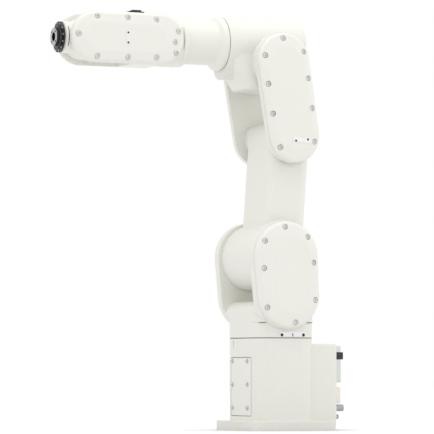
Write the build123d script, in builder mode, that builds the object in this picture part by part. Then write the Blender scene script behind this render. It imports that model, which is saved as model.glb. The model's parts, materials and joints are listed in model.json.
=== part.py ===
from build123d import *
import os
from math import cos, hypot, radians, sin

# Six-axis industrial robot arm with its foot on the floor. Millimetres, +Z up.
# The origin is on the floor under axis 1. The arm points along +X, its left side is +Y.

# Clearances and overruns
running_gap = 0.3
shadow_gap = 2.0
groove_width = 1.2
overrun = 5.0
wide_overrun = 150.0

# Foot and base housing
foot_side = 210.0
foot_front = 83.4
foot_thickness = 22.6
foot_corner = 6.0
foot_edge = 1.5
foot_bolt_offset = 90.0
foot_bolt_hole = 6.75
foot_bolt_room = 10.0
column_front = 67.0
column_rear = 84.0
column_corner = 46.0
base_height = 211.0
box_rear = 141.5
box_half_width = foot_bolt_offset - foot_bolt_room
box_drop = 12.0
box_corner = 8.0
box_edge = 5.0
front_slot_y = -41.0
front_slot_drop = 12.5
front_slot_length = 17.0
front_slot_width = 5.0
front_slot_depth = 2.0

# Covers and connectors of the base
front_cover_width = 108.0
front_cover_bottom = 34.0
front_cover_drop = 44.0
front_cover_thickness = 4.0
front_cover_corner = 4.0
front_screw_y = (34.0, -47.0)
front_screw_rise = 5.0
front_screw_pitch = 53.5
screw_seat_radius = 6.5
front_seat_radius = 5.0
front_seat_depth = 1.5
rear_panel_width = 144.0
rear_panel_bottom = 110.0
rear_panel_drop = 16.0
rear_panel_thickness = 12.0
rear_panel_corner = 5.0
power_socket_width = 44.0
power_socket_height = 17.0
power_socket_depth = 18.0
power_socket_drop = 39.5
power_socket_corner = 3.0
signal_socket_radius = 8.0
signal_socket_collar = 9.5
signal_socket_collar_depth = 6.0
signal_socket_depth = 23.0
signal_socket_bore = 6.0
signal_socket_y = 58.0
signal_socket_z = 51.5
network_socket_width = 38.0
network_socket_height = 38.0
network_socket_depth = 11.0
network_socket_corner = 3.0
network_socket_z = 81.0
port_radius = 6.0
port_depth = 12.0
port_bore = 3.5
port_half_pitch = 12.0
port_middle_y = -44.0
port_middle_z = 62.0
earth_stud_radius = 5.5
earth_stud_depth = 14.0
earth_stud_y = 52.0
earth_stud_z = 31.0

# Shoulder: axis 2 over the base, and the upright fork that holds it
shoulder_rise = 188.1
shoulder_height = base_height + shoulder_rise
drum_radius = 77.0
turn_boss_radius = 60.0
swing_bottom = base_height + shadow_gap
fork_floor_gap = 25.1
fork_floor = shoulder_height - drum_radius - fork_floor_gap
fork_floor_round = 28.0
fork_gap_half = 84.9
fork_cheek = 21.1
fork_half_width = fork_gap_half + fork_cheek
column_inset = 8.0
column_half_width = fork_half_width - column_inset
fork_shift = 4.0
fork_radius = 81.0
fork_low_shift = -2.0
fork_low_rise = 99.0
fork_low_radius = 79.0
ledge_rise = 37.0
ledge_inset = 5.0
ledge_half_width = fork_half_width - ledge_inset
shoulder_cover_inset = 1.5
shoulder_cover_wall = 11.0
shoulder_cover_dome = 5.0
shoulder_flat_top = (-9.0, 3.0, 42.0)
shoulder_flat_low = (-9.0, 0.0, 41.0)
shoulder_screw_inset = 13.0
shoulder_screw_depth = 8.0
shoulder_top_angles = (84.0, 30.0, -26.0, 139.0, 193.0)
shoulder_low_angles = (-27.0, 190.0, 258.0)

# Lower arm: drum on axis 2, leaning bar and the fork that holds axis 3
lower_link = 448.0
elbow_height = shoulder_height + lower_link
drum_half_width = fork_gap_half - running_gap
drum_edge = 0.8
bar_depth = 100.0
bar_land = 9.6
bar_width = 2 * (drum_half_width - bar_land)
bar_corner = 24.0
bar_shift = -9.3
bar_lean_share = -0.073
bar_blend_share = 0.9
elbow_gap_half = 83.3
elbow_fork_half_width = 97.0
elbow_shift = 5.0
elbow_radius = 66.0
elbow_low_shift = -22.0
elbow_low_drop = 170.0
elbow_low_radius = 64.0
elbow_floor_drop = 137.0
elbow_floor_round = 26.0
ear_root_radius = 41.0
bar_head_rise = 60.0
bar_head_corner = 6.0
elbow_cover_inset = 1.5
elbow_cover_wall = 8.5
elbow_cover_dome = 4.5
elbow_flat_top = (-2.0, -15.0, 48.0)
elbow_flat_low = (2.0, 13.0, 46.0)
elbow_screw_inset = 13.0
elbow_screw_depth = 7.5
elbow_top_angles = (84.0, 11.0, 155.0)
elbow_low_angles = (-37.0, 197.0)
elbow_side_shares = (0.28, 0.68)

# Elbow housing
hub_radius = 66.0
hub_half_width = elbow_gap_half - running_gap
hub_edge = 0.8
forearm_rise = 42.0
forearm_height = elbow_height + forearm_rise
tunnel_radius = 62.0
tunnel_front = 121.0
tunnel_rear = 68.0
neck_radius = 36.0
neck_drop = 47.0
keel_bottom = 106.0
keel_shoulder = 83.0
keel_front = 76.0
keel_slope = 15.0
keel_half_width = 57.0
keel_corner = 38.0
keel_edge = 4.0
rear_cap_radius = 57.0
rear_cap_thickness = 6.0
rear_cap_edge = 2.5

# Forearm tube
collar_radius = 62.0
collar_boss_radius = 54.0
collar_width = 6.0
collar_edge = 1.0
flare_length = 21.0
flare_bend_share = 0.5
tube_radius = 50.0
tube_length = 72.0
collar_start = tunnel_front + groove_width
collar_end = collar_start + collar_width
flare_end = collar_end + flare_length
tube_end = flare_end + tube_length

# Wrist housing and covers
wrist_ring_radius = 57.0
wrist_ring_width = 11.5
ring_groove = 0.8
wrist_neck_radius = 58.0
wrist_rear_reach = 70.8
wrist_length = 159.0
wrist_radius = 58.0
wrist_rear = tube_end + wrist_rear_reach
forearm_reach = wrist_rear + wrist_length
wrist_half_width = 50.0
wrist_slot_half = 40.0
wrist_slot_reach = 91.0
wrist_slot_start = forearm_reach - wrist_slot_reach
wrist_cover_inset = 0.5
wrist_cover_wall = 8.5
wrist_cover_dome = 4.5
wrist_flat_front = (-2.0, -1.0, 32.0)
wrist_flat_rear = (24.0, -1.0, 32.0)
wrist_screw_inset = 12.0
wrist_screw_depth = 7.5
wrist_front_angles = (90.0, 5.0, -90.0)
wrist_rear_angles = (72.0, 155.0, -72.0)
wrist_side_shares = (0.47,)
neck_screw_middle = (-32.5, -6.3)
neck_screw_low = (-35.5, -31.0)
wrist_recess = 4.0
wrist_recess_length = 96.0
wrist_recess_half = 30.0
wrist_socket_back = 119.0
wrist_socket_length = 42.0
wrist_socket_width = 30.0
wrist_socket_base = 4.5
wrist_socket_corner = 3.0
socket_block_length = 22.0
socket_block_width = 20.0
socket_block_height = 14.5
wrist_port_back = 150.0
wrist_port_radius = 4.0
wrist_port_bore = 2.2
wrist_port_height = 7.0
wrist_port_half_pitch = 10.0

# Tilt housing and tool flange
tilt_hub_radius = 48.0
tilt_hub_half_width = wrist_slot_half - running_gap
tilt_hub_edge = 1.5
tilt_neck_radius = 36.0
tilt_neck_length = 66.7
tilt_step_radius = 33.5
tilt_step_width = 2.5
ring_back = forearm_reach + tilt_neck_length
ring_thickness = 4.0
ring_radius = 35.0
ring_bore = 27.0
flange_waist_radius = 26.5
flange_waist_length = 5.0
flange_cone_radius = 23.0
flange_cone_length = 4.0
flange_boss_radius = 20.0
flange_boss_length = 6.0
flange_back = ring_back + running_gap
flange_front = flange_back + flange_waist_length + flange_cone_length + flange_boss_length
flange_bore = 10.0
flange_bore_depth = 8.0
tool_bolt_radius = 15.75
tool_bolt_count = 4
tool_bolt_hole = 2.5
tool_bolt_depth = 8.0
tool_bolt_turn = 45.0

# Mark plates
mark_plate_thickness = 1.0
swing_mark_x = -19.0
swing_mark_length = 66.0
swing_mark_height = 11.0
swing_mark_rise = 8.0
elbow_mark_x = -36.0
elbow_mark_lift = 12.0
elbow_mark_length = 44.0
elbow_mark_height = 10.0
elbow_mark_tilt = 6.0
wrist_mark_back = 74.0
wrist_mark_length = 32.0
wrist_mark_height = 9.0

# Round edges of the side covers
cover_crown = 24.0
cover_rim_share = 1.1

os.makedirs("parts", exist_ok=True)


def side_plane(y):
    """Upright plane at distance y to the left of the middle plane; it faces the right side."""
    return Plane.XZ.offset(-y)


def cross_plane(x, z):
    """Upright plane across the arm at x, centred at height z; it faces the front."""
    return Plane(origin=(x, 0, z), x_dir=(0, 1, 0), z_dir=(1, 0, 0))


def between(first, second, share):
    """The point that share of the way from the first point to the second."""
    return tuple(a + (b - a) * share for a, b in zip(first, second))


def oval(*circles):
    """Circles, each (x, z, radius), and their common tangents, in the open sketch."""
    for x, z, radius in circles:
        with Locations((x, z)):
            Circle(radius)
    make_hull()


def inset_oval(ends, inset):
    """The circles of an oval, made smaller."""
    return [(x, z, radius - inset) for x, z, radius in ends]


def rim_points(ends, inset, angles, side_shares):
    """Points along an oval's rim: at angles round each end, and in pairs at shares of its sides."""
    upper, lower = ends[:2]
    points = []
    for (x, z, radius), turns in zip(ends, angles):
        reach = radius - inset
        points += [(x + reach * cos(radians(a)), z + reach * sin(radians(a))) for a in turns]
    run = hypot(lower[0] - upper[0], lower[1] - upper[1])
    across = ((upper[1] - lower[1]) / run, (lower[0] - upper[0]) / run)
    for share in side_shares:
        x, z, radius = between(upper, lower, share)
        for side in (1, -1):
            reach = side * (radius - inset)
            points.append((x + reach * across[0], z + reach * across[1]))
    return points


def column_outline(half_width, mode=Mode.ADD):
    """Rounded outline of the turning column, in the open sketch."""
    with Locations(((column_front - column_rear) / 2, 0)):
        RectangleRounded(column_front + column_rear, 2 * half_width, column_corner, mode=mode)


def keel_outline(front):
    """Outline of the elbow's keel from above, in the open sketch; its rear end is in the hub."""
    RectangleRounded(2 * front, 2 * keel_half_width, keel_corner)
    with Locations((front / 2, 0)):
        Rectangle(front, 2 * keel_half_width, mode=Mode.INTERSECT)


def gap_outline(floor, front, rear, round_radius, top):
    """Open space of a fork above its floor, whose two edges are round."""
    with BuildLine() as outline:
        Polyline(
            (front, floor - round_radius),
            (front + wide_overrun, floor - round_radius),
            (front + wide_overrun, top),
            (rear - wide_overrun, top),
            (rear - wide_overrun, floor - round_radius),
            (rear, floor - round_radius),
        )
        rear_round = RadiusArc(
            (rear, floor - round_radius), (rear + round_radius, floor), round_radius
        )
        front_round = RadiusArc(
            (front - round_radius, floor), (front, floor - round_radius), round_radius
        )
        Line(rear_round @ 1, front_round @ 0)
    make_face(outline.edges())


def finish(part, label):
    """Names a piece and writes it."""
    part.label = label
    export_step(part, f"parts/{label}.step")


def side_cover(label, side, seat, wall, dome, ends, flat, screws, screw_depth):
    """Domed oval cover with round screw seats; side is 1 on the left and -1 on the right."""
    with BuildPart() as cover:
        with BuildSketch(side_plane(side * seat)):
            oval(*ends)
        extrude(amount=-side * wall)
        with BuildSketch(side_plane(side * (seat + wall))):
            oval(*ends)
        with BuildSketch(side_plane(side * (seat + wall + dome))):
            oval(*flat)
        loft(ruled=True)
        rim = cover.edges().filter_by_position(Axis.Y, side * (seat + wall), side * (seat + wall))
        fillet(rim, radius=wall * cover_rim_share)
        face = cover.faces().sort_by(Axis.Y)[-1 if side > 0 else 0]
        fillet(face.edges(), radius=cover_crown)
        with BuildSketch(side_plane(side * (seat + wall + dome - screw_depth))):
            with Locations(*screws):
                Circle(screw_seat_radius)
        extrude(amount=-side * (screw_depth + overrun), mode=Mode.SUBTRACT)
    finish(cover.part, label)


# Base casting: foot plate, rounded column and the box for the connectors
foot_middle = foot_front - foot_side / 2
box_height = base_height - box_drop
front_cover_top = base_height - front_cover_drop
with BuildPart() as base_casting:
    with BuildSketch():
        with Locations((foot_middle, 0)):
            RectangleRounded(foot_side, foot_side, foot_corner)
    extrude(amount=foot_thickness)
    chamfer(base_casting.faces().sort_by(Axis.Z)[-1].edges(), length=foot_edge)
    with BuildSketch(Plane.XY.offset(foot_thickness / 2)):
        with Locations((-box_rear / 2, 0)):
            RectangleRounded(box_rear, 2 * box_half_width, box_corner)
    extrude(amount=box_height - foot_thickness / 2)
    fillet(base_casting.faces().sort_by(Axis.Z)[-1].edges(), radius=box_edge)
    with BuildSketch(Plane.XY.offset(foot_thickness / 2)):
        column_outline(column_half_width)
    extrude(amount=base_height - foot_thickness / 2)
    # Recess of the front cover, and a small slot over it
    cover_middle = (front_cover_bottom + front_cover_top) / 2
    cover_height = front_cover_top - front_cover_bottom
    with BuildSketch(cross_plane(column_front, cover_middle)):
        RectangleRounded(
            front_cover_width + 2 * groove_width,
            cover_height + 2 * groove_width,
            front_cover_corner + groove_width,
        )
    extrude(amount=-front_cover_thickness, mode=Mode.SUBTRACT)
    with BuildSketch(cross_plane(column_front, base_height - front_slot_drop)):
        with Locations((front_slot_y, 0)):
            SlotOverall(front_slot_length, front_slot_width, rotation=90)
    extrude(amount=-front_slot_depth, mode=Mode.SUBTRACT)
    # Bolt holes of the foot
    with Locations((foot_middle, 0)):
        with GridLocations(2 * foot_bolt_offset, 2 * foot_bolt_offset, 2, 2):
            Cylinder(
                foot_bolt_hole,
                foot_thickness,
                align=(Align.CENTER, Align.CENTER, Align.MIN),
                mode=Mode.SUBTRACT,
            )
finish(base_casting.part, "base_casting")

with BuildPart() as base_front_cover:
    with BuildSketch(cross_plane(column_front, cover_middle)):
        RectangleRounded(front_cover_width, cover_height, front_cover_corner)
    extrude(amount=-front_cover_thickness)
    with BuildSketch(cross_plane(column_front, cover_middle + front_screw_rise)):
        for screw_y in front_screw_y:
            with Locations((screw_y, -front_screw_pitch), (screw_y, 0), (screw_y, front_screw_pitch)):
                Circle(front_seat_radius)
    extrude(amount=-front_seat_depth, mode=Mode.SUBTRACT)
finish(base_front_cover.part, "base_front_cover")

# Rear panel, and the connectors behind the box
panel_top = box_height + box_drop - rear_panel_drop
panel_middle = (rear_panel_bottom + panel_top) / 2
power_socket_z = base_height - power_socket_drop
power_socket_y = (rear_panel_width - power_socket_width) / 2
with BuildPart() as base_rear_panel:
    with BuildSketch(cross_plane(-box_rear, panel_middle)):
        RectangleRounded(rear_panel_width, panel_top - rear_panel_bottom, rear_panel_corner)
        with Locations((power_socket_y, power_socket_z - panel_middle)):
            Rectangle(
                power_socket_width + 2 * running_gap,
                power_socket_height + 2 * running_gap,
                mode=Mode.SUBTRACT,
            )
    extrude(amount=-rear_panel_thickness)
finish(base_rear_panel.part, "base_rear_panel")

with BuildPart() as power_socket:
    with BuildSketch(cross_plane(-box_rear, power_socket_z)):
        with Locations((power_socket_y, 0)):
            RectangleRounded(power_socket_width, power_socket_height, power_socket_corner)
    extrude(amount=-power_socket_depth)
finish(power_socket.part, "power_socket")

with BuildPart() as signal_socket:
    with BuildSketch(cross_plane(-box_rear, signal_socket_z)):
        with Locations((signal_socket_y, 0)):
            Circle(signal_socket_radius)
    extrude(amount=-signal_socket_depth)
    with BuildSketch(cross_plane(-box_rear, signal_socket_z)):
        with Locations((signal_socket_y, 0)):
            Circle(signal_socket_collar)
    extrude(amount=-signal_socket_collar_depth)
    with BuildSketch(cross_plane(-box_rear - signal_socket_depth, signal_socket_z)):
        with Locations((signal_socket_y, 0)):
            Circle(signal_socket_bore)
    extrude(amount=signal_socket_depth - signal_socket_collar_depth, mode=Mode.SUBTRACT)
finish(signal_socket.part, "signal_socket")

with BuildPart() as network_socket:
    with BuildSketch(cross_plane(-box_rear, network_socket_z)):
        with Locations((box_half_width - box_corner - network_socket_width / 2, 0)):
            RectangleRounded(network_socket_width, network_socket_height, network_socket_corner)
    extrude(amount=-network_socket_depth)
finish(network_socket.part, "network_socket")

with BuildPart() as base_air_ports:
    with BuildSketch(cross_plane(-box_rear, port_middle_z)):
        with Locations((port_middle_y, 0)):
            with GridLocations(2 * port_half_pitch, 2 * port_half_pitch, 2, 2):
                Circle(port_radius)
                Circle(port_bore, mode=Mode.SUBTRACT)
    extrude(amount=-port_depth)
finish(base_air_ports.part, "base_air_ports")

with BuildPart() as earth_stud:
    with BuildSketch(cross_plane(-box_rear, earth_stud_z)):
        with Locations((earth_stud_y, 0)):
            Circle(earth_stud_radius)
    extrude(amount=-earth_stud_depth)
finish(earth_stud.part, "earth_stud")

# Swing housing: column and fork in one casting
fork_top = (fork_shift, shoulder_height, fork_radius)
fork_low = (fork_low_shift, base_height + fork_low_rise, fork_low_radius)
with BuildPart() as swing_housing:
    with BuildSketch(Plane.XY.offset(base_height + running_gap)):
        Circle(turn_boss_radius)
    extrude(amount=shadow_gap)
    with BuildSketch(Plane.XY.offset(swing_bottom)):
        column_outline(column_half_width)
    extrude(amount=fork_floor - swing_bottom)
    with BuildSketch(Plane.XY.offset(base_height + ledge_rise)):
        column_outline(ledge_half_width)
    extrude(amount=fork_floor - base_height - ledge_rise)
    with BuildSketch(side_plane(0)):
        oval(fork_top, fork_low)
    extrude(amount=fork_half_width, both=True)
    with BuildSketch(side_plane(0)):
        gap_outline(
            fork_floor,
            column_front,
            -column_rear,
            fork_floor_round,
            shoulder_height + 2 * fork_radius,
        )
    extrude(amount=fork_gap_half, both=True, mode=Mode.SUBTRACT)
finish(swing_housing.part, "swing_housing")

shoulder_ends = inset_oval((fork_top, fork_low), shoulder_cover_inset)
shoulder_flat = [
    (shift, end[1] + lift, radius)
    for end, (shift, lift, radius) in zip(shoulder_ends, (shoulder_flat_top, shoulder_flat_low))
]
shoulder_screws = rim_points(
    shoulder_ends, shoulder_screw_inset, (shoulder_top_angles, shoulder_low_angles), ()
)
for label, side in (("shoulder_cover_left", 1), ("shoulder_cover_right", -1)):
    side_cover(
        label,
        side,
        fork_half_width,
        shoulder_cover_wall,
        shoulder_cover_dome,
        shoulder_ends,
        shoulder_flat,
        shoulder_screws,
        shoulder_screw_depth,
    )

with BuildPart() as swing_mark_plate:
    with BuildSketch(Plane.XY.offset(swing_bottom + swing_mark_rise - swing_mark_height / 2)):
        column_outline(column_half_width)
        offset(amount=mark_plate_thickness)
        with Locations((swing_mark_x, column_half_width)):
            Rectangle(swing_mark_length, column_half_width, mode=Mode.INTERSECT)
        column_outline(column_half_width, mode=Mode.SUBTRACT)
    extrude(amount=swing_mark_height)
finish(swing_mark_plate.part, "swing_mark_plate")

# Lower arm: drum, leaning bar and the ears of the elbow fork in one casting
elbow_top = (elbow_shift, elbow_height, elbow_radius)
elbow_low = (elbow_low_shift, elbow_height - elbow_low_drop, elbow_low_radius)
elbow_floor = elbow_height - elbow_floor_drop
bar_middle = bar_shift + bar_lean_share * (elbow_floor - shoulder_height)
bar_plane = Plane(
    origin=(bar_shift, 0, shoulder_height), x_dir=(1, 0, -bar_lean_share), z_dir=(bar_lean_share, 0, 1)
)
with BuildPart() as lower_arm_casting:
    with BuildSketch(side_plane(0)):
        with Locations((0, shoulder_height)):
            Circle(drum_radius)
    extrude(amount=drum_half_width, both=True)
    chamfer(lower_arm_casting.edges(), length=drum_edge)
    with BuildSketch(bar_plane):
        RectangleRounded(bar_depth, bar_width, bar_corner)
    extrude(amount=elbow_floor + overrun - shoulder_height)
    root = lower_arm_casting.edges().filter_by_position(
        Axis.Z, shoulder_height + drum_radius / 2, shoulder_height + drum_radius - drum_edge / 2
    )
    root = root.filter_by_position(Axis.Y, -bar_width / 2, bar_width / 2)
    fillet(root, radius=bar_land * bar_blend_share)
    # The bar widens softly into the web between the ears
    head_low = elbow_floor - bar_head_rise - shoulder_height
    head_high = elbow_floor + overrun - shoulder_height
    with BuildSketch(bar_plane.offset(head_low)):
        RectangleRounded(bar_depth, bar_width, bar_corner)
    with BuildSketch(bar_plane.offset(head_high)):
        RectangleRounded(bar_depth, 2 * elbow_gap_half + overrun, bar_head_corner)
    loft()
    for side in (1, -1):
        with BuildSketch(side_plane(side * elbow_gap_half)):
            oval(elbow_top, elbow_low)
        extrude(amount=-side * (elbow_fork_half_width - elbow_gap_half))
    with BuildSketch(side_plane(0)):
        oval(
            (bar_middle, elbow_floor, ear_root_radius),
            (elbow_low_shift, elbow_low[1], ear_root_radius),
        )
    extrude(amount=elbow_gap_half, both=True)
    with BuildSketch(side_plane(0)):
        gap_outline(
            elbow_floor,
            bar_middle + bar_depth / 2,
            bar_middle - bar_depth / 2,
            elbow_floor_round,
            elbow_height + 2 * elbow_radius,
        )
    extrude(amount=elbow_gap_half, both=True, mode=Mode.SUBTRACT)
finish(lower_arm_casting.part, "lower_arm_casting")

elbow_ends = inset_oval((elbow_top, elbow_low), elbow_cover_inset)
elbow_flat = [
    (end[0] + shift, end[1] + lift, radius)
    for end, (shift, lift, radius) in zip(elbow_ends, (elbow_flat_top, elbow_flat_low))
]
elbow_screws = rim_points(
    elbow_ends, elbow_screw_inset, (elbow_top_angles, elbow_low_angles), elbow_side_shares
)
for label, side in (("elbow_cover_left", 1), ("elbow_cover_right", -1)):
    side_cover(
        label,
        side,
        elbow_fork_half_width,
        elbow_cover_wall,
        elbow_cover_dome,
        elbow_ends,
        elbow_flat,
        elbow_screws,
        elbow_screw_depth,
    )

elbow_cover_face = elbow_fork_half_width + elbow_cover_wall + elbow_cover_dome
elbow_mark_z = elbow_low[1] - elbow_mark_lift
with BuildPart() as elbow_mark_plate:
    with BuildSketch(side_plane(elbow_cover_face)):
        with Locations(Location((elbow_mark_x, elbow_mark_z), elbow_mark_tilt)):
            Rectangle(elbow_mark_length, elbow_mark_height)
    extrude(amount=-mark_plate_thickness)
finish(elbow_mark_plate.part, "elbow_mark_plate")

# Elbow housing: hub across the fork, and the tunnel along the forearm with its neck and keel
with BuildPart() as elbow_housing:
    with BuildSketch(side_plane(0)):
        with Locations((0, elbow_height)):
            Circle(hub_radius)
    extrude(amount=hub_half_width, both=True)
    chamfer(elbow_housing.edges(), length=hub_edge)
    with BuildSketch(cross_plane(0, forearm_height)):
        oval((0, 0, tunnel_radius), (0, -neck_drop, neck_radius))
    extrude(amount=tunnel_front)
    with BuildSketch(cross_plane(-tunnel_rear, forearm_height)):
        Circle(tunnel_radius)
    extrude(amount=tunnel_rear)
    # Keel under the tunnel: a block with round corners and a sloping nose
    with BuildSketch(Plane.XY.offset(forearm_height - keel_bottom)):
        keel_outline(keel_front)
    with BuildSketch(Plane.XY.offset(forearm_height - keel_shoulder)):
        keel_outline(keel_front + keel_slope)
    loft(ruled=True)
    with BuildSketch(Plane.XY.offset(forearm_height - keel_shoulder)):
        keel_outline(keel_front + keel_slope)
    extrude(amount=keel_shoulder - keel_half_width / 2)
    bottom = elbow_housing.edges().filter_by_position(
        Axis.Z, forearm_height - keel_bottom, forearm_height - keel_bottom
    )
    chamfer(bottom.filter_by_position(Axis.X, keel_edge, keel_front), length=keel_edge)
finish(elbow_housing.part, "elbow_housing")

with BuildPart() as elbow_rear_cap:
    with BuildSketch(cross_plane(-tunnel_rear, forearm_height)):
        Circle(rear_cap_radius)
    extrude(amount=-rear_cap_thickness)
    fillet(elbow_rear_cap.faces().sort_by(Axis.X)[0].edges(), radius=rear_cap_edge)
finish(elbow_rear_cap.part, "elbow_rear_cap")

# Forearm tube, turned about axis 4; it flares to its collar in an S-curve
forearm_axis = Axis((0, 0, forearm_height), (1, 0, 0))
flare_middle = flare_end - flare_length * flare_bend_share
flare_radius = (collar_radius + tube_radius) / 2
with BuildPart() as forearm_tube:
    with BuildSketch(Plane.XZ):
        with BuildLine() as profile:
            Polyline(
                (collar_end, forearm_height + collar_radius),
                (collar_start + collar_edge, forearm_height + collar_radius),
                (collar_start, forearm_height + collar_radius - collar_edge),
                (collar_start, forearm_height + collar_boss_radius),
                (tunnel_front + running_gap, forearm_height + collar_boss_radius),
                (tunnel_front + running_gap, forearm_height),
                (tube_end, forearm_height),
                (tube_end, forearm_height + tube_radius),
                (flare_end, forearm_height + tube_radius),
            )
            Spline(
                (flare_end, forearm_height + tube_radius),
                (flare_middle, forearm_height + flare_radius),
                (collar_end, forearm_height + collar_radius),
                tangents=((-1, 0), (-1, 0)),
            )
        make_face()
    revolve(axis=forearm_axis)
finish(forearm_tube.part, "forearm_tube")

# Wrist housing: screwed neck on the tube and a fork for the tilt housing
wrist_front_end = (forearm_reach, forearm_height, wrist_radius)
wrist_rear_end = (wrist_rear, forearm_height, wrist_radius)
wrist_ring_end = tube_end + wrist_ring_width
neck_start = wrist_ring_end + ring_groove
wrist_top = forearm_height + wrist_radius - wrist_recess
with BuildPart() as wrist_housing:
    with BuildSketch(cross_plane(tube_end, forearm_height)):
        Circle(wrist_ring_radius)
    extrude(amount=wrist_ring_width)
    with BuildSketch(cross_plane(tube_end, forearm_height)):
        Circle(wrist_ring_radius - groove_width)
        Rectangle(2 * wrist_half_width, 2 * wrist_ring_radius, mode=Mode.INTERSECT)
    extrude(amount=neck_start - tube_end)
    with BuildSketch(cross_plane(neck_start, forearm_height)):
        Circle(wrist_neck_radius)
        Rectangle(2 * wrist_half_width, 2 * wrist_neck_radius, mode=Mode.INTERSECT)
    extrude(amount=wrist_rear - neck_start)
    with BuildSketch(side_plane(0)):
        oval(wrist_front_end, wrist_rear_end)
    extrude(amount=wrist_half_width, both=True)
    with BuildSketch(Plane.XY.offset(forearm_height - 2 * wrist_radius)):
        with Locations(((wrist_slot_start + forearm_reach + 2 * wrist_radius) / 2, 0)):
            Rectangle(forearm_reach + 2 * wrist_radius - wrist_slot_start, 2 * wrist_slot_half)
    extrude(amount=4 * wrist_radius, mode=Mode.SUBTRACT)
    # Flat recess for the top socket, open to the slot
    with BuildSketch(Plane.XY.offset(wrist_top)):
        with Locations((wrist_slot_start - wrist_recess_length / 2, 0)):
            Rectangle(wrist_recess_length + 2 * overrun, 2 * wrist_recess_half)
    extrude(amount=wrist_recess + overrun, mode=Mode.SUBTRACT)
finish(wrist_housing.part, "wrist_housing")

wrist_ends = inset_oval((wrist_front_end, wrist_rear_end), wrist_cover_inset)
wrist_flat = [
    (end[0] + shift, end[1] + lift, radius)
    for end, (shift, lift, radius) in zip(wrist_ends, (wrist_flat_front, wrist_flat_rear))
]
wrist_screws = rim_points(
    wrist_ends,
    wrist_screw_inset,
    (wrist_front_angles, wrist_rear_angles),
    wrist_side_shares,
)
wrist_screws += [
    (wrist_rear + shift, forearm_height + lift) for shift, lift in (neck_screw_middle, neck_screw_low)
]
for label, side in (("wrist_cover_left", 1), ("wrist_cover_right", -1)):
    side_cover(
        label,
        side,
        wrist_half_width,
        wrist_cover_wall,
        wrist_cover_dome,
        wrist_ends,
        wrist_flat,
        wrist_screws,
        wrist_screw_depth,
    )

wrist_socket_x = forearm_reach - wrist_socket_back
with BuildPart() as wrist_socket:
    with BuildSketch(Plane.XY.offset(wrist_top)):
        with Locations((wrist_socket_x, 0)):
            RectangleRounded(wrist_socket_length, wrist_socket_width, wrist_socket_corner)
    extrude(amount=wrist_socket_base)
    with BuildSketch(Plane.XY.offset(wrist_top)):
        with Locations((wrist_socket_x, 0)):
            RectangleRounded(socket_block_length, socket_block_width, wrist_socket_corner)
    extrude(amount=socket_block_height)
finish(wrist_socket.part, "wrist_socket")

with BuildPart() as wrist_air_ports:
    with BuildSketch(Plane.XY.offset(wrist_top)):
        with Locations((forearm_reach - wrist_port_back, 0)):
            with GridLocations(0, 2 * wrist_port_half_pitch, 1, 2):
                Circle(wrist_port_radius)
                Circle(wrist_port_bore, mode=Mode.SUBTRACT)
    extrude(amount=wrist_port_height)
finish(wrist_air_ports.part, "wrist_air_ports")

with BuildPart() as wrist_mark_plate:
    with BuildSketch(side_plane(wrist_half_width + wrist_cover_wall + wrist_cover_dome)):
        with Locations((forearm_reach - wrist_mark_back, forearm_height)):
            Rectangle(wrist_mark_height, wrist_mark_length)
    extrude(amount=-mark_plate_thickness)
finish(wrist_mark_plate.part, "wrist_mark_plate")

# Tilt housing between the wrist fork's cheeks
with BuildPart() as tilt_housing:
    with BuildSketch(side_plane(0)):
        with Locations((forearm_reach, forearm_height)):
            Circle(tilt_hub_radius)
    extrude(amount=tilt_hub_half_width, both=True)
    chamfer(tilt_housing.edges(), length=tilt_hub_edge)
    with BuildSketch(cross_plane(forearm_reach, forearm_height)):
        Circle(tilt_neck_radius)
    extrude(amount=tilt_neck_length - tilt_step_width)
    with BuildSketch(cross_plane(forearm_reach, forearm_height)):
        Circle(tilt_step_radius)
    extrude(amount=tilt_neck_length)
finish(tilt_housing.part, "tilt_housing")

with BuildPart() as flange_ring:
    with BuildSketch(cross_plane(ring_back, forearm_height)):
        Circle(ring_radius)
        Circle(ring_bore, mode=Mode.SUBTRACT)
    extrude(amount=ring_thickness)
finish(flange_ring.part, "flange_ring")

# Tool flange, turned about axis 6
flange_axis = Axis((0, 0, forearm_height), (1, 0, 0))
cone_start = flange_back + flange_waist_length
boss_start = cone_start + flange_cone_length
with BuildPart() as tool_flange:
    with BuildSketch(Plane.XZ):
        with BuildLine():
            Polyline(
                (flange_back, forearm_height),
                (flange_back, forearm_height + flange_waist_radius),
                (cone_start, forearm_height + flange_waist_radius),
                (boss_start, forearm_height + flange_cone_radius),
                (boss_start, forearm_height + flange_boss_radius),
                (flange_front, forearm_height + flange_boss_radius),
                (flange_front, forearm_height),
                close=True,
            )
        make_face()
    revolve(axis=flange_axis)
    with BuildSketch(cross_plane(flange_front, forearm_height)):
        Circle(flange_bore)
    extrude(amount=-flange_bore_depth, mode=Mode.SUBTRACT)
    with BuildSketch(cross_plane(flange_front, forearm_height)):
        with PolarLocations(tool_bolt_radius, tool_bolt_count, start_angle=tool_bolt_turn):
            Circle(tool_bolt_hole)
    extrude(amount=-tool_bolt_depth, mode=Mode.SUBTRACT)
finish(tool_flange.part, "tool_flange")
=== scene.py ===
import json
import math

import bmesh
import bpy
from mathutils import Matrix, Vector


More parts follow.
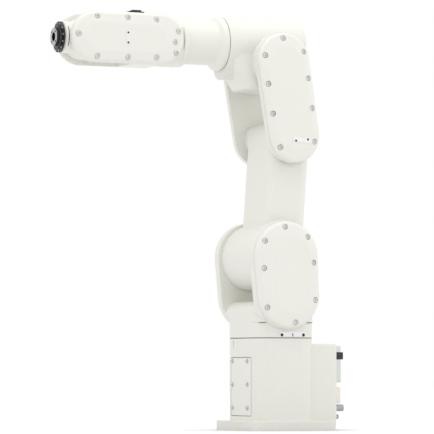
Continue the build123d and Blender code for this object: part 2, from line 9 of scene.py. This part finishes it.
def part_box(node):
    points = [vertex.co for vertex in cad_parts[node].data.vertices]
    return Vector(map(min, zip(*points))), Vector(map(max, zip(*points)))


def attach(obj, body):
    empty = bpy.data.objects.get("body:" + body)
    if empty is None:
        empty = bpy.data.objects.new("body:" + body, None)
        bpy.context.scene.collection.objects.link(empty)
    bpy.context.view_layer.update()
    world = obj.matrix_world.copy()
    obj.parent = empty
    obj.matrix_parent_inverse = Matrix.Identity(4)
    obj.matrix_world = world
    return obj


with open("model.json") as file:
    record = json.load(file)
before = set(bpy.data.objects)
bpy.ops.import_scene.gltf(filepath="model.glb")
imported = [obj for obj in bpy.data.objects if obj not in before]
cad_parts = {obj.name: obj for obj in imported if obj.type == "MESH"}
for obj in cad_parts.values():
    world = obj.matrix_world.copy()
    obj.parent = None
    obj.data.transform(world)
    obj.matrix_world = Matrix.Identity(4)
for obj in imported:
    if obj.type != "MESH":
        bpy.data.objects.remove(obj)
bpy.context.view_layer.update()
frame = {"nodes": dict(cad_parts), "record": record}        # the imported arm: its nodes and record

# Robot arm, in metres, in the frame of the imported nodes
mm = 0.001
scene = bpy.context.scene
nodes = frame["nodes"]
x_axis = Vector((1, 0, 0))
y_axis = Vector((0, 1, 0))
z_axis = Vector((0, 0, 1))

# Sockets of a Mix node that mixes colours: its factor and its two colours
color_mix_slots = (0, 6, 7)


class Field:
    """A number that varies over a surface. Sums and products of fields add Math nodes."""

    def __init__(self, tree, socket):
        self.tree = tree
        self.socket = socket

    def math(self, operation, *values):
        node = self.tree.nodes.new("ShaderNodeMath")
        node.operation = operation
        for slot, value in zip(node.inputs, (self, *values)):
            if isinstance(value, Field):
                self.tree.links.new(value.socket, slot)
            else:
                slot.default_value = value
        return Field(self.tree, node.outputs[0])

    def __add__(self, other):
        return self.math("ADD", other)

    def __radd__(self, other):
        return self.math("ADD", other)

    def __sub__(self, other):
        return self.math("SUBTRACT", other)

    def __rsub__(self, other):
        return self.math("MULTIPLY", -1.0).math("ADD", other)

    def __mul__(self, other):
        return self.math("MULTIPLY", other)

    def __rmul__(self, other):
        return self.math("MULTIPLY", other)

    def held(self):
        """The field, held between 0 and 1."""
        return self.math("MAXIMUM", 0.0).math("MINIMUM", 1.0)


class Finish:
    """A surface material, built node by node round one Principled shader."""

    def __init__(self, name, color, roughness, metallic=0.0, coat=0.0, coat_roughness=0.1):
        self.material = bpy.data.materials.new(name)
        self.material.use_nodes = True
        self.tree = self.material.node_tree
        self.tree.nodes.clear()
        self.output = self.tree.nodes.new("ShaderNodeOutputMaterial")
        self.shader = self.tree.nodes.new("ShaderNodeBsdfPrincipled")
        self.tree.links.new(self.shader.outputs[0], self.output.inputs["Surface"])
        self.shader.inputs["Base Color"].default_value = (*color, 1.0)
        self.shader.inputs["Roughness"].default_value = roughness
        self.shader.inputs["Metallic"].default_value = metallic
        self.shader.inputs["Coat Weight"].default_value = coat
        self.shader.inputs["Coat Roughness"].default_value = coat_roughness
        self.place = self.node("ShaderNodeTexCoord").outputs["Object"]

    def node(self, kind, settings=None, **sockets):
        """Adds a node; the settings come first, then the values or links of its sockets."""
        node = self.tree.nodes.new(kind)
        for key, value in (settings or {}).items():
            setattr(node, key, value)
        for key, value in sockets.items():
            slot = node.inputs[key.replace("_", " ")]
            if isinstance(value, Field):
                self.tree.links.new(value.socket, slot)
            elif isinstance(value, bpy.types.NodeSocket):
                self.tree.links.new(value, slot)
            else:
                slot.default_value = value
        return node

    def noise(self, scale, detail=3.0, stretch=None):
        """Cloudy noise from 0 to 1; scale is in clouds a metre."""
        place = self.place
        if stretch:
            stretched = self.node("ShaderNodeVectorMath", {"operation": "MULTIPLY"})
            self.tree.links.new(self.place, stretched.inputs[0])
            stretched.inputs[1].default_value = stretch
            place = stretched.outputs[0]
        made = self.node("ShaderNodeTexNoise", Vector=place, Scale=scale, Detail=detail)
        return Field(self.tree, made.outputs["Fac"])

    def mix(self, mask, first, second):
        """Colour between the first, where the mask is 0, and the second, where it is 1."""
        node = self.node("ShaderNodeMix", {"data_type": "RGBA"})
        for slot, value in zip(color_mix_slots, (mask, first, second)):
            if isinstance(value, Field):
                self.tree.links.new(value.socket, node.inputs[slot])
            elif isinstance(value, bpy.types.NodeSocket):
                self.tree.links.new(value, node.inputs[slot])
            else:
                node.inputs[slot].default_value = (*value, 1.0)
        return node.outputs[2]

    def set(self, socket, value):
        """Feeds a socket of the shader with a field or a colour."""
        link = value.socket if isinstance(value, Field) else value
        self.tree.links.new(link, self.shader.inputs[socket])

    def bump(self, height, distance, strength=1.0, normal=None):
        """Feeds the normal with a relief; distance is in metres."""
        node = self.node("ShaderNodeBump", Height=height, Distance=distance, Strength=strength)
        if normal is not None:
            self.tree.links.new(normal, node.inputs["Normal"])
        self.tree.links.new(node.outputs[0], self.shader.inputs["Normal"])

    def soft_edges(self, radius):
        """A normal that rounds sharp edges a little."""
        return self.node("ShaderNodeBevel", {"samples": 4}, Radius=radius).outputs[0]


def darker(color, share):
    """The colour times a share."""
    return tuple(channel * share for channel in color)


# Finishes
edge_softness = 0.8 * mm
peel_height = 0.06 * mm
metal_relief = 0.03 * mm
plastic_relief = 0.05 * mm
print_relief = 0.01 * mm
grain_stretch = (1.0, 1.0, 8.0)
face_edge_rate = 4000.0


def arm_paint(name, color, shade):
    """Warm off-white powder paint with a fine orange peel and faint smudges."""
    paint = Finish(name, color, 0.42, coat=0.12, coat_roughness=0.22)
    cloud = paint.noise(5.0, 4.0)
    smudge = (paint.noise(22.0, 6.0) - 0.55) * 3.0
    dust = paint.noise(1400.0, 2.0)
    tone = (cloud * 0.7 + smudge.held() * 0.25).held()
    base = paint.mix(tone, color, shade)
    speck = ((dust - 0.68) * 6.0).held() * 0.25
    base = paint.mix(speck, base, darker(shade, 0.86))
    paint.set("Base Color", base)
    paint.set("Roughness", (0.38 + cloud * 0.08 + smudge.held() * 0.06).held())
    peel = paint.noise(700.0, 2.0) * 0.6 + paint.noise(1900.0, 1.0) * 0.4
    paint.bump(peel, peel_height, 0.35, paint.soft_edges(edge_softness))
    return paint.material


def bare_metal(name, color, roughness, grain):
    """Turned or brushed metal with fine streaks."""
    metal = Finish(name, color, roughness, metallic=1.0)
    streak = metal.noise(grain, 4.0, grain_stretch)
    blotch = metal.noise(60.0, 3.0)
    metal.set("Base Color", metal.mix(blotch, color, darker(color, 0.78)))
    metal.set("Roughness", (roughness - 0.06 + streak * 0.14).held())
    metal.bump(streak, metal_relief, 0.4)
    return metal.material


def turned_flange(name, color, face_color, face_x):
    """Black steel with a bare turned face in front."""
    metal = Finish(name, color, 0.36, metallic=1.0)
    parts = metal.node("ShaderNodeSeparateXYZ", Vector=metal.place)
    front = ((Field(metal.tree, parts.outputs["X"]) - face_x) * face_edge_rate).held()
    streak = metal.noise(500.0, 4.0, grain_stretch)
    blotch = metal.noise(60.0, 3.0)
    dark = metal.mix(blotch, color, darker(color, 0.78))
    bare = metal.mix(blotch, face_color, darker(face_color, 0.85))
    metal.set("Base Color", metal.mix(front, dark, bare))
    metal.set("Roughness", (0.30 + streak * 0.14).held())
    metal.bump(streak, metal_relief, 0.4)
    return metal.material


def moulded_plastic(name, color, roughness):
    """Moulded plastic with a fine grain."""
    plastic = Finish(name, color, roughness)
    grain = plastic.noise(2600.0, 2.0)
    blotch = plastic.noise(40.0, 3.0)
    light = tuple(min(1.0, channel * 1.25 + 0.004) for channel in color)
    plastic.set("Base Color", plastic.mix(blotch * 0.6, color, light))
    plastic.set("Roughness", (roughness - 0.05 + blotch * 0.12).held())
    plastic.bump(grain, plastic_relief, 0.5)
    return plastic.material


def flat_ink(name, color):
    """Matt printed ink."""
    ink = Finish(name, color, 0.6)
    fleck = ink.noise(3000.0, 2.0)
    ink.set("Base Color", ink.mix(fleck, color, tuple(channel * 1.4 + 0.004 for channel in color)))
    ink.set("Roughness", (0.5 + fleck * 0.2).held())
    ink.bump(fleck, print_relief, 0.3)
    return ink.material


def mark_film(name, color, edge_color):
    """Pale printed plate under the black marks."""
    film = Finish(name, color, 0.45)
    cloud = film.noise(300.0, 3.0)
    film.set("Base Color", film.mix(cloud * 0.6, color, edge_color))
    film.set("Roughness", (0.4 + cloud * 0.12).held())
    film.bump(film.noise(2500.0, 1.0), print_relief, 0.3)
    return film.material


black_steel = (0.055, 0.055, 0.06)
finishes = {
    "arm_paint": arm_paint("arm_paint_powder", (0.800, 0.797, 0.742), (0.775, 0.772, 0.715)),
    "cover_paint": arm_paint("cover_paint_powder", (0.812, 0.809, 0.756), (0.790, 0.786, 0.731)),
    "panel_steel": arm_paint("panel_grey_paint", (0.70, 0.73, 0.70), (0.67, 0.70, 0.67)),
    "black_plastic": moulded_plastic("connector_black", (0.018, 0.018, 0.020), 0.45),
    "grey_metal": bare_metal("connector_shell", (0.46, 0.46, 0.47), 0.32, 300.0),
    "pale_plastic": moulded_plastic("connector_beige", (0.78, 0.73, 0.66), 0.5),
    "brass_fitting": bare_metal("fitting_brass", (0.58, 0.47, 0.24), 0.3, 400.0),
    "mark_metal": mark_film("mark_plate_pale", (0.87, 0.862, 0.875), (0.84, 0.83, 0.84)),
    "dark_steel": bare_metal("flange_black_steel", black_steel, 0.36, 500.0),
}
for part in frame["record"]["subparts"]:
    thing = nodes[part["node"]]
    thing.data.materials.clear()
    thing.data.materials.append(finishes[part["material_slot"]])

screw_steel = bare_metal("screw_zinc", (0.74, 0.74, 0.70), 0.36, 900.0)
black_ink = flat_ink("mark_black", (0.012, 0.012, 0.014))
# Near-black finish of the strips that paint shadow in the seams and gaps
seam_shadow_black = moulded_plastic("seam_shadow_black", (0.020, 0.020, 0.019), 0.7)
# Dark grey finish of the band that paints shade in the swing's turning seam
seam_shade_grey = moulded_plastic("seam_shade_grey", (0.20, 0.20, 0.19), 0.7)
wrist_film = mark_film("wrist_mark_pale", (0.835, 0.832, 0.800), (0.820, 0.816, 0.785))
nodes["wrist_mark_plate"].data.materials[0] = wrist_film

# Only the front 0.5 mm of the tool flange is bare
bare_skin = 0.5 * mm
bare_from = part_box("tool_flange")[1][0] - bare_skin
flange_steel = turned_flange("flange_turned_steel", black_steel, (0.50, 0.50, 0.49), bare_from)
nodes["tool_flange"].data.materials[0] = flange_steel


def piece(name, mesh, material, body):
    """Makes an object of the mesh that rides on a body."""
    data = bpy.data.meshes.new(name)
    mesh.to_mesh(data)
    mesh.free()
    data.materials.append(material)
    thing = bpy.data.objects.new(name, data)
    scene.collection.objects.link(thing)
    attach(thing, body)
    return thing


# Screws: socket heads in the seats of the covers, joined to one mesh a cover
ring_points = 24
hex_corners = 6
head_edge_share = 0.12
ring_angles = [2 * math.pi * i / ring_points for i in range(ring_points)]


def hex_reach(angle, across):
    """Distance from the middle to the rim of a hexagon that measures across between its flats."""
    turn = 2 * math.pi / hex_corners
    return across / 2 / math.cos((angle % turn) - turn / 2)


def head_rings(radius, height, across, depth):
    """Rings of a socket head, each a list of (x, y, z), from its seat to the socket's floor."""
    edge = radius * head_edge_share
    round_rings = [(radius, 0.0), (radius, height - edge), (radius - edge, height)]
    rings = [[(r * math.cos(a), r * math.sin(a), z) for a in ring_angles] for r, z in round_rings]
    reaches = [hex_reach(a, across) for a in ring_angles]
    for z in (height, height - depth):
        rings.append([(r * math.cos(a), r * math.sin(a), z) for r, a in zip(reaches, ring_angles)])
    return rings


def add_head(mesh, place, across_axis, up_axis, head):
    """Adds one socket head to a mesh."""
    side = up_axis.cross(across_axis)
    rows = []
    for ring in head_rings(*head):
        rows.append(
            [mesh.verts.new(place + across_axis * x + side * y + up_axis * z) for x, y, z in ring]
        )
    for low, high in zip(rows, rows[1:]):
        for i in range(ring_points):
            j = (i + 1) % ring_points
            mesh.faces.new((low[i], low[j], high[j], high[i]))
    mesh.faces.new(rows[-1])


def add_screws(name, body, places, direction, twist, head):
    """Makes a piece of heads that look in a direction; each socket is turned on by the twist."""
    letter, start = ("Y", x_axis) if direction.y else ("X", y_axis)
    mesh = bmesh.new()
    for turn, place in enumerate(places):
        across_axis = Matrix.Rotation(turn * twist, 3, letter) @ start
        add_head(mesh, place, across_axis, direction, head)
    piece(name, mesh, screw_steel, body)


seat_slack = 0.4 * mm
merge_distance = 0.001 * mm
facing = 0.999


def seat_places(node, direction, width):
    """Middles of the flat round faces of a node that look in a direction and have this width."""
    found = []
    mesh = bmesh.new()
    mesh.from_mesh(nodes[node].data)
    bmesh.ops.remove_doubles(mesh, verts=mesh.verts, dist=merge_distance)
    # A dict keeps the order of the mesh's faces, so the seats come in the same order each run
    left = dict.fromkeys(face for face in mesh.faces if face.normal.dot(direction) > facing)
    while left:
        island = [next(iter(left))]
        del left[island[0]]
        for face in island:
            for edge in face.edges:
                for other in edge.link_faces:
                    if other in left:
                        del left[other]
                        island.append(other)
        corners = [vert.co for face in island for vert in face.verts]
        low = Vector([min(c[i] for c in corners) for i in range(3)])
        high = Vector([max(c[i] for c in corners) for i in range(3)])
        extents = sorted(high - low)
        if abs(extents[1] - width) < seat_slack and abs(extents[2] - width) < seat_slack:
            found.append((low + high) / 2)
    mesh.free()
    return found


def face_circle(middle, radius, count, start):
    """Places round a circle on an upright face that looks along X."""
    turns = [start + 2 * math.pi * i / count for i in range(count)]
    return [middle + (y_axis * math.cos(t) + z_axis * math.sin(t)) * radius for t in turns]


# Each head: radius, height, width across the flats of its socket, depth of its socket
socket_across = 5.0 * mm
socket_depth = 2.4 * mm
shoulder_head = (5.7 * mm, 4.4 * mm, socket_across, socket_depth)
elbow_head = (5.7 * mm, 5.4 * mm, socket_across, socket_depth)
wrist_head = (6.1 * mm, 6.2 * mm, socket_across, socket_depth)
front_head = (4.5 * mm, 5.0 * mm, 3.4 * mm, 2.2 * mm)
cap_head = (4.4 * mm, 2.6 * mm, 3.4 * mm, 1.6 * mm)
panel_head = (3.6 * mm, 2.2 * mm, 2.8 * mm, 1.3 * mm)
ring_head = (1.9 * mm, 1.2 * mm, 1.7 * mm, 0.8 * mm)

cover_seat = 13.0 * mm
cover_twist = 0.7
for body, cover, head in (
    ("swing", "shoulder_cover", shoulder_head),
    ("lower_arm", "elbow_cover", elbow_head),
    ("forearm", "wrist_cover", wrist_head),
):
    for side, direction in (("left", y_axis), ("right", -y_axis)):
        seats = seat_places(f"{cover}_{side}", direction, cover_seat)
        add_screws(f"{cover}_screws_{side}", body, seats, direction, cover_twist, head)

front_seat = 10.0 * mm
front_twist = 0.9
seats = seat_places("base_front_cover", x_axis, front_seat)
add_screws("front_cover_screws", "base", seats, x_axis, front_twist, front_head)

# Screws round the elbow's rear cap, which is centred on the forearm
low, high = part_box("elbow_rear_cap")
forearm_height = (low[2] + high[2]) / 2
cap_circle = 46.0 * mm
cap_screws = 6
cap_twist = 0.8
places = face_circle(Vector((low[0], 0, forearm_height)), cap_circle, cap_screws, 0.0)
add_screws("rear_cap_screws", "elbow", places, -x_axis, cap_twist, cap_head)

# Screws in the corners of the rear panel
low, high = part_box("base_rear_panel")
panel_inset = 8.0 * mm
places = [
    Vector((low[0], y, z))
    for y in (low[1] + panel_inset, high[1] - panel_inset)
    for z in (low[2] + panel_inset, high[2] - panel_inset)
]
add_screws("rear_panel_screws", "base", places, -x_axis, 0.0, panel_head)

# Screws on the flange ring
low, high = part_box("flange_ring")
ring_circle = 31.0 * mm
ring_screws = 12
ring_start = 0.13
ring_twist = 0.6
places = face_circle(Vector((high[0], 0, forearm_height)), ring_circle, ring_screws, ring_start)
add_screws("flange_ring_screws", "tilt", places, x_axis, ring_twist, ring_head)


def add_disc(mesh, place, across_axis, up_axis, radius, thickness):
    """Adds a thin round mark to a mesh."""
    side = up_axis.cross(across_axis)
    spokes = [(across_axis * math.cos(a) + side * math.sin(a)) * radius for a in ring_angles]
    rows = []
    for lift in (0.0, thickness):
        rows.append([mesh.verts.new(place + spoke + up_axis * lift) for spoke in spokes])
    for i in range(ring_points):
        j = (i + 1) % ring_points
        mesh.faces.new((rows[0][i], rows[0][j], rows[1][j], rows[1][i]))
    mesh.faces.new(rows[1])


# Calibration marks: black dots on the pale plates. Each row gives the dots' radius and their
# places along X and Z, in millimetres.
mark_lift = 0.15 * mm
for body, plate, radius, dots in (
    ("swing", "swing_mark_plate", 3.6, ((10.0, 218.8), (-44.6, 218.8))),
    ("lower_arm", "elbow_mark_plate", 2.5, ((-20.5, 663.4), (-51.0, 666.6))),
    ("forearm", "wrist_mark_plate", 2.4, ((377.0, 899.4), (377.0, 876.8))),
):
    plate_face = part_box(plate)[1][1]
    mesh = bmesh.new()
    for x, z in dots:
        add_disc(mesh, Vector((x * mm, plate_face, z * mm)), x_axis, y_axis, radius * mm, mark_lift)
    piece(f"{plate}_dots", mesh, black_ink, body)

# Index line on the swing housing's mark plate
low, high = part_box("swing_mark_plate")
index_x = -17.5 * mm
index_half = 1.1 * mm
index_length = 7.5 * mm
corners = [
    (index_x - index_half, low[2]),
    (index_x + index_half, low[2]),
    (index_x + index_half, low[2] + index_length),
    (index_x - index_half, low[2] + index_length),
]
mesh = bmesh.new()
rows = [[mesh.verts.new((x, high[1] + lift, z)) for x, z in corners] for lift in (0.0, mark_lift)]
for i in range(len(corners)):
    j = (i + 1) % len(corners)
    mesh.faces.new((rows[0][j], rows[0][i], rows[1][i], rows[1][j]))
mesh.faces.new(rows[1][::-1])
piece("swing_index_line", mesh, black_ink, "swing")

# Dark strips that paint the shadow in the joints of the castings
arc_steps = 12


def arc(middle, radius, start, end):
    """Points of an arc in a plane, with its ends; angles in degrees."""
    turns = [math.radians(start + (end - start) * i / arc_steps) for i in range(arc_steps + 1)]
    return [(middle[0] + radius * math.cos(t), middle[1] + radius * math.sin(t)) for t in turns]


def round_box(half_x, half_y, corner, inset=0.0):
    """Points of a rectangle with round corners, drawn smaller by the inset."""
    points = []
    for turn, (side_x, side_y) in enumerate(((1, 1), (-1, 1), (-1, -1), (1, -1))):
        middle = (side_x * (half_x - corner), side_y * (half_y - corner))
        points += arc(middle, corner - inset, 90 * turn, 90 * turn + 90)
    return points


def add_sweep(mesh, sections, closed):
    """Skins a run of four-cornered sections, round in a loop or capped at both ends."""
    rows = [[mesh.verts.new(point) for point in section] for section in sections]
    pairs = list(zip(rows, rows[1:]))
    if closed:
        pairs.append((rows[-1], rows[0]))
    else:
        mesh.faces.new(rows[0])
        mesh.faces.new(rows[-1][::-1])
    for first, second in pairs:
        for i in range(4):
            j = (i + 1) % 4
            mesh.faces.new((first[i], first[j], second[j], second[i]))
    bmesh.ops.recalc_face_normals(mesh, faces=mesh.faces)


def add_layers(mesh, layers):
    """Skins outlines seen from above, each at its height, with a cap at both ends."""
    rows = [[mesh.verts.new((x, y, z)) for x, y in outline] for outline, z in layers]
    count = len(rows[0])
    for low, high in zip(rows, rows[1:]):
        for i in range(count):
            j = (i + 1) % count
            mesh.faces.new((low[i], low[j], high[j], high[i]))
    mesh.faces.new(rows[0][::-1])
    mesh.faces.new(rows[-1])
    bmesh.ops.recalc_face_normals(mesh, faces=mesh.faces)


def upright_sections(outer, inner, low, high):
    """Sections between two outlines seen from above, from one height to another."""
    return [
        [Vector((*out, low)), Vector((*out, high)), Vector((*into, high)), Vector((*into, low))]
        for out, into in zip(outer, inner)
    ]


def facing_sections(outer, inner, back, front):
    """Sections between two outlines seen from the front, from one place along X to another."""
    return [
        [Vector((back, *out)), Vector((front, *out)), Vector((front, *into)), Vector((back, *into))]
        for out, into in zip(outer, inner)
    ]


# Grey band in the seam where the swing housing turns on the base: painted shade that darkens the gap
column_front = 67.0 * mm
column_rear = 84.0 * mm
column_half = 98.0 * mm
column_corner = 46.0 * mm
column_middle = (column_front - column_rear) / 2
base_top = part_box("base_casting")[1][2]
seam_shade_out = 1.0 * mm
seam_shade_in = 5.0 * mm
seam_shade_low = 0.2 * mm
seam_shade_high = 1.8 * mm


def column_line(inset):
    """The column's outline from above, drawn smaller by the inset."""
    half_x = (column_front + column_rear) / 2
    return [(x + column_middle, y) for x, y in round_box(half_x, column_half, column_corner, inset)]


mesh = bmesh.new()
seam_shade_band = upright_sections(
    column_line(seam_shade_out), column_line(seam_shade_in), base_top + seam_shade_low, base_top + seam_shade_high
)
add_sweep(mesh, seam_shade_band, True)
piece("turn_seam_shade", mesh, seam_shade_grey, "swing")

# Near-black strip under the ledge of the swing housing, round its front and rear corners: painted shadow of the
# ledge
ledge_half = 101.0 * mm
ledge_height = base_top + 37.0 * mm
ledge_shadow_strip = 1.2 * mm
ledge_sink = 0.3 * mm
strip_ends = (35, 145)
mesh = bmesh.new()
for side in (1, -1):
    paths = []
    for half in (ledge_half - ledge_sink, column_half - ledge_sink):
        middle_y = half - column_corner
        front_arc = arc((column_front - column_corner, middle_y), column_corner, strip_ends[0], 90)
        rear_arc = arc((column_corner - column_rear, middle_y), column_corner, 90, strip_ends[1])
        paths.append([(x, side * y) for x, y in front_arc + rear_arc])
    add_sweep(mesh, upright_sections(*paths, ledge_height - ledge_shadow_strip, ledge_height), False)
piece("swing_ledge_shadow_strip", mesh, seam_shadow_black, "swing")

# Near-black band in the gap round the front cover: painted shadow in the gap
low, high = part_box("base_front_cover")
cover_gap = 1.2 * mm
cover_corner = 4.0 * mm
gap_shadow_play = 0.05 * mm
gap_shadow_sink = 0.1 * mm
half_y = (high[1] - low[1]) / 2 + cover_gap
half_z = (high[2] - low[2]) / 2 + cover_gap
middle_z = (low[2] + high[2]) / 2
outlines = []
for inset in (gap_shadow_play, cover_gap - gap_shadow_play):
    outline = round_box(half_y, half_z, cover_corner + cover_gap, inset)
    outlines.append([(y, z + middle_z) for y, z in outline])
mesh = bmesh.new()
add_sweep(mesh, facing_sections(*outlines, low[0] + gap_shadow_sink, high[0] - gap_shadow_sink), True)
piece("front_cover_gap_shadow", mesh, seam_shadow_black, "base")

# Near-black strips on both sides of the tilt housing's neck: painted shadow of a groove line
neck_radius = 36.0 * mm
strip_rise = 0.25 * mm
strip_sink = 0.5 * mm
strip_back = 8.5 * mm
strip_half = 0.8 * mm
strip_spread = 38
strip_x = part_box("flange_ring")[0][0] - strip_back
neck_middle = (0, forearm_height)
mesh = bmesh.new()
for side in (0, 180):
    outer, inner = [
        arc(neck_middle, radius, side - strip_spread, side + strip_spread)
        for radius in (neck_radius + strip_rise, neck_radius - strip_sink)
    ]
    sections = facing_sections(outer, inner, strip_x - strip_half, strip_x + strip_half)
    add_sweep(mesh, sections, False)
piece("tilt_neck_shadow_strips", mesh, seam_shadow_black, "tilt")

# Upper part of the elbow's keel, between its sloping nose and the tunnel
keel_half = 57.0 * mm
keel_corner = 38.0 * mm
keel_nose = 91.0 * mm
keel_front = 120.5 * mm
keel_bottom = forearm_height - 83.1 * mm
keel_shoulder = forearm_height - 38.0 * mm
keel_top = forearm_height - 20.0 * mm
sharp_from = math.radians(40)


def keel_line(reach):
    """The keel's outline from above, from inside the hub to its round front corners."""
    front = reach - keel_corner
    line = [(0.0, -keel_half)] + arc((front, keel_corner - keel_half), keel_corner, -90, 0)
    return line + arc((front, keel_half - keel_corner), keel_corner, 0, 90) + [(0.0, keel_half)]


layers = [
    (keel_line(keel_nose), keel_bottom),
    (keel_line(keel_front), keel_shoulder),
    (keel_line(keel_front), keel_top),
]
mesh = bmesh.new()
add_layers(mesh, layers)
keel = piece("elbow_keel_block", mesh, finishes["arm_paint"], "elbow")
for face in keel.data.polygons:
    face.use_smooth = True
keel.data.set_sharp_from_angle(angle=sharp_from)

# Ears of the plug clamp on the wrist's top socket
low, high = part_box("wrist_socket")
ear_half = Vector((19.0, 8.0, 0.0)) * mm
ear_corner = 3.0 * mm
ear_middle = Vector(((low[0] + high[0]) / 2, (low[1] + high[1]) / 2, 0.0))
ear_low = low[2] + 1.0 * mm
ear_high = high[2] - 3.0 * mm
outline = [
    (x + ear_middle.x, y + ear_middle.y) for x, y in round_box(ear_half.x, ear_half.y, ear_corner)
]
mesh = bmesh.new()
add_layers(mesh, [(outline, ear_low), (outline, ear_high)])
piece("wrist_socket_ears", mesh, finishes["black_plastic"], "forearm")

# Floor: white, and it keeps the arm's shadow; near the arm, painted shade darkens its colour and its glow
floor_color = (0.86, 0.86, 0.86)
shaded_color = (0.06, 0.06, 0.06)
floor_glow = 0.21
shade_reach = 0.5
floor_half = 14.0


def seen_share(tree, path):
    """1 where a ray from the camera, a reflection or a clear surface meets the background."""
    seen = Field(tree, path.outputs["Is Camera Ray"])
    seen = seen.math("MAXIMUM", Field(tree, path.outputs["Is Glossy Ray"]))
    return seen.math("MAXIMUM", Field(tree, path.outputs["Is Transmission Ray"]))


def floor_finish():
    """White floor that keeps the arm's shadow, with painted shade near the arm, and otherwise reads as the white
    background.
    """
    floor = Finish("studio_floor", floor_color, 0.7)
    tree = floor.tree
    # Ambient occlusion paints shade into the floor's colour and glow near the arm
    near = floor.node("ShaderNodeAmbientOcclusion", {"samples": 8}, Distance=shade_reach)
    open_share = Field(tree, near.outputs["AO"])
    floor.set("Base Color", floor.mix(open_share, shaded_color, floor_color))
    seen = seen_share(tree, floor.node("ShaderNodeLightPath"))
    glow = floor.node("ShaderNodeEmission", Color=(1.0, 1.0, 1.0, 1.0))
    tree.links.new((seen * floor_glow * open_share).socket, glow.inputs["Strength"])
    added = floor.node("ShaderNodeAddShader")
    tree.links.new(floor.shader.outputs[0], added.inputs[0])
    tree.links.new(glow.outputs[0], added.inputs[1])
    tree.links.new(added.outputs[0], floor.output.inputs["Surface"])
    return floor.material


mesh = bpy.data.meshes.new("studio_floor")
mesh.from_pydata(
    [(x * floor_half, y * floor_half, 0.0) for x, y in ((-1, -1), (1, -1), (1, 1), (-1, 1))],
    [],
    [(0, 1, 2, 3)],
)
mesh.materials.append(floor_finish())
floor = bpy.data.objects.new("studio_floor", mesh)
scene.collection.objects.link(floor)

# World: white where it is seen, a little lower as a light
world_light = 0.93
world = bpy.data.worlds.new("studio_white")
scene.world = world
world.use_nodes = True
world_tree = world.node_tree
world_tree.nodes.clear()
world_path = world_tree.nodes.new("ShaderNodeLightPath")
world_glow = world_tree.nodes.new("ShaderNodeBackground")
world_glow.inputs["Color"].default_value = (1.0, 1.0, 1.0, 1.0)
world_out = world_tree.nodes.new("ShaderNodeOutputWorld")
world_strength = world_light + seen_share(world_tree, world_path) * (1.0 - world_light)
world_tree.links.new(world_strength.socket, world_glow.inputs["Strength"])
world_tree.links.new(world_glow.outputs[0], world_out.inputs["Surface"])

# Lamps: place in metres and power in watts
lamp_aim = Vector((0.1, 0.0, 0.5))
lamp_size = 2.4
for name, place, power in (
    ("top_lamp", (0.4, 0.6, 3.4), 28.0),
    ("rear_lamp", (-3.0, 1.6, 1.8), 13.0),
    ("nose_lamp", (3.2, 0.6, 1.0), 5.0),
):
    lamp = bpy.data.lights.new(name, "AREA")
    lamp.shape = "SQUARE"
    lamp.size = lamp_size
    lamp.energy = power
    thing = bpy.data.objects.new(name, lamp)
    thing.location = place
    thing.rotation_mode = "QUATERNION"
    thing.rotation_quaternion = (lamp_aim - Vector(place)).to_track_quat("-Z", "Y")
    scene.collection.objects.link(thing)

# Camera: a long lens that looks at the arm from its left front, a little from below
camera_yaw = math.radians(24.63)
camera_pitch = math.radians(-2.627)
camera_distance = 7.730
camera_lens = 277.03
sensor = 36.0
clip_near = 0.1
clip_far = 100.0
aim_height = 0.5
aim_across = -0.1162
aim_up = -0.0075
back = Vector(
    (
        math.sin(camera_yaw) * math.cos(camera_pitch),
        math.cos(camera_yaw) * math.cos(camera_pitch),
        math.sin(camera_pitch),
    )
)
right = Vector((-math.cos(camera_yaw), math.sin(camera_yaw), 0.0))
up = back.cross(right)
camera_data = bpy.data.cameras.new("photo_camera")
camera_data.lens = camera_lens
camera_data.sensor_width = sensor
camera_data.clip_start = clip_near
camera_data.clip_end = clip_far
camera = bpy.data.objects.new("photo_camera", camera_data)
camera.rotation_mode = "QUATERNION"
aim = Vector((0, 0, aim_height))
camera.location = aim + back * camera_distance + right * aim_across + up * aim_up
camera.rotation_quaternion = Matrix((right, up, back)).transposed().to_quaternion()
scene.collection.objects.link(camera)
scene.camera = camera
scene.view_settings.view_transform = "Standard"
